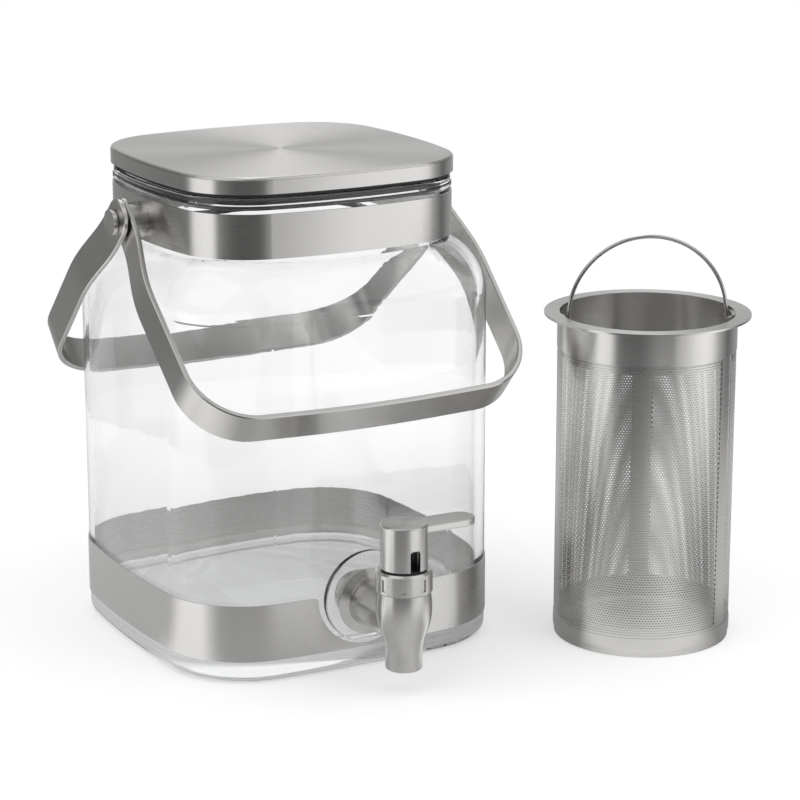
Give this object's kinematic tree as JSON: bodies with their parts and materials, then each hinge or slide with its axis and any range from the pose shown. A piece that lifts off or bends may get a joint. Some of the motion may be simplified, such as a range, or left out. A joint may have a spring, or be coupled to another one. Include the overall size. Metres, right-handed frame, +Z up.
{
  "type": "cold brew coffee maker",
  "caption": "Cold brew coffee maker: bowed-square glass jar with steel bands and lid, two strap handles, a lever tap, and a perforated steel filter with a wire bail beside it.",
  "frame": {"origin": "centre of the jar's base, on the surface that it stands on", "axes": "+Z up along the jar's axis, -Y towards the tap, +X along the handles' pivot axis"},
  "size_m": [0.2689, 0.2366, 0.2216],
  "materials": {
    "clear_glass": "clear, polished, slightly wavy",
    "band_steel": "brushed along the band",
    "lid_steel": "spun satin",
    "handle_steel": "brushed along the strap",
    "pin_steel": "turned, satin",
    "tap_steel": "bead-blasted satin casting",
    "stem_steel": "turned",
    "filter_steel": "fine perforated sheet",
    "wire_steel": "drawn wire",
    "black_silicone": "matte",
    "white_silicone": "matte, translucent",
    "liner_plastic": "fine matte",
    "glide_plastic": "smooth"
  },
  "bodies": {
    "jar": {"glass_jar": "clear_glass", "base_band": "band_steel", "neck_band": "band_steel", "pivot_boss_left": "pin_steel", "pivot_boss_right": "pin_steel", "pivot_pin_left": "pin_steel", "pivot_pin_right": "pin_steel", "pivot_spacer_left": "glide_plastic", "pivot_spacer_right": "glide_plastic", "spigot_body": "tap_steel", "spigot_outer_gasket": "black_silicone", "spigot_inner_gasket": "black_silicone", "spigot_lock_nut": "tap_steel", "spigot_bonnet": "tap_steel"},
    "handle_front": {"front_handle": "handle_steel"},
    "handle_rear": {"rear_handle": "handle_steel"},
    "lid": {"lid_cover": "lid_steel", "lid_plug": "liner_plastic", "lid_gasket": "black_silicone"},
    "lever_base": {"lever_glide_washer": "glide_plastic"},
    "lever": {"tap_lever": "tap_steel", "lever_pin": "stem_steel"},
    "valve": {"valve_stem": "stem_steel", "valve_seat_plug": "white_silicone"},
    "filter": {"filter_rim": "filter_steel", "filter_tube": "filter_steel", "filter_base": "filter_steel", "bail_lug_left": "filter_steel", "bail_lug_right": "filter_steel"},
    "bail": {"filter_bail": "wire_steel"}
  },
  "joints": [
    {"name": "front_handle_swing", "type": "hinge", "parent": "jar", "child": "handle_front", "pos_m": [0, 0, 0.1954], "axis": [-1, 0, 0], "range_deg": [0, 131]},
    {"name": "rear_handle_swing", "type": "hinge", "parent": "jar", "child": "handle_rear", "pos_m": [0, 0, 0.1954], "axis": [1, 0, 0], "range_deg": [0, 132]},
    {"name": "lid_lift", "type": "slide", "parent": "jar", "child": "lid", "axis": [0, 0, 1], "range_m": [0, 0.06]},
    {"name": "lever_turn", "type": "hinge", "parent": "jar", "child": "lever_base", "pos_m": [0, -0.115, 0.057], "axis": [0, 0, 1], "range_deg": [-180, 0]},
    {"name": "lever_press", "type": "hinge", "parent": "lever_base", "child": "lever", "pos_m": [0.0103, -0.115, 0.057], "axis": [0, 1, 0], "range_deg": [0, 9], "stiffness_Nm_per_rad": 1},
    {"name": "valve_lift", "type": "slide", "parent": "lever_base", "child": "valve", "axis": [0, 0, 1], "range_m": [0, 0.0015]},
    {"name": "filter_lift", "type": "slide", "parent": "jar", "child": "filter", "axis": [0, 0, 1], "range_m": [0, 0.15]},
    {"name": "bail_fold", "type": "hinge", "parent": "filter", "child": "bail", "pos_m": [0.1357, -0.096, 0.1466], "axis": [0.9239, -0.3827, 0], "range_deg": [-90, 90]}
  ],
  "couplings": [
    {"joint": "valve_lift", "follows": "lever_press", "m_per_rad": 0.00925}
  ]
}
